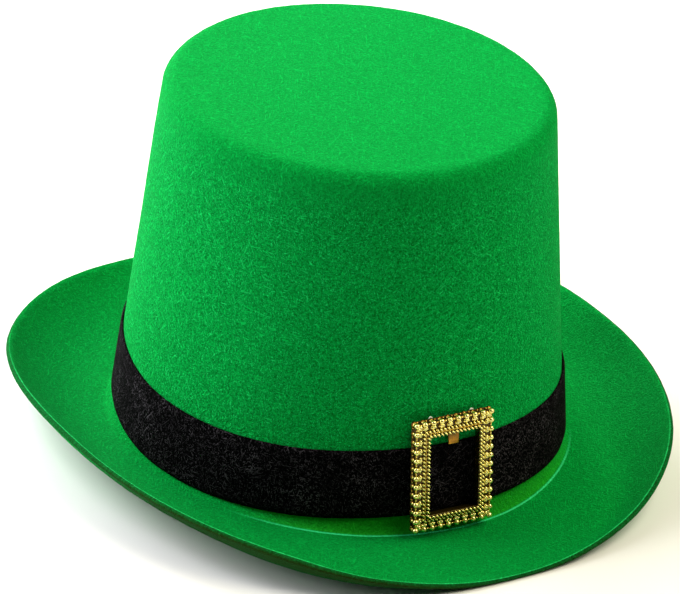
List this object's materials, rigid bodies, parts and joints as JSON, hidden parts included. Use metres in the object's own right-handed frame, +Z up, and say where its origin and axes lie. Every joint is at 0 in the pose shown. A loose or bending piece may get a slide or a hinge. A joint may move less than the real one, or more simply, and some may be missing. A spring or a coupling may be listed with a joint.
{
  "type": "leprechaun hat",
  "caption": "Straight-crowned felt costume hat with a curled oval brim, a dark felt band and a beaded rectangular buckle.",
  "frame": {"origin": "middle of the hat's outline, on the plane that the felt rests on", "axes": "+Z up through the crown, -Y towards the front of the hat and its buckle, +X to the wearer's left"},
  "size_m": [0.2646, 0.2912, 0.1603],
  "materials": {
    "body_felt": "pressed felt with a short matted nap",
    "band_felt": "fuzzy felt strip",
    "buckle_gold": "bright gold metallizing on moulded plastic",
    "tie_nylon": "pale translucent thread"
  },
  "bodies": {
    "root": {"felt_body": "body_felt", "hat_band": "band_felt", "buckle_frame": "buckle_gold", "tie_loop_left": "tie_nylon", "tie_loop_right": "tie_nylon"}
  },
  "joints": []
}
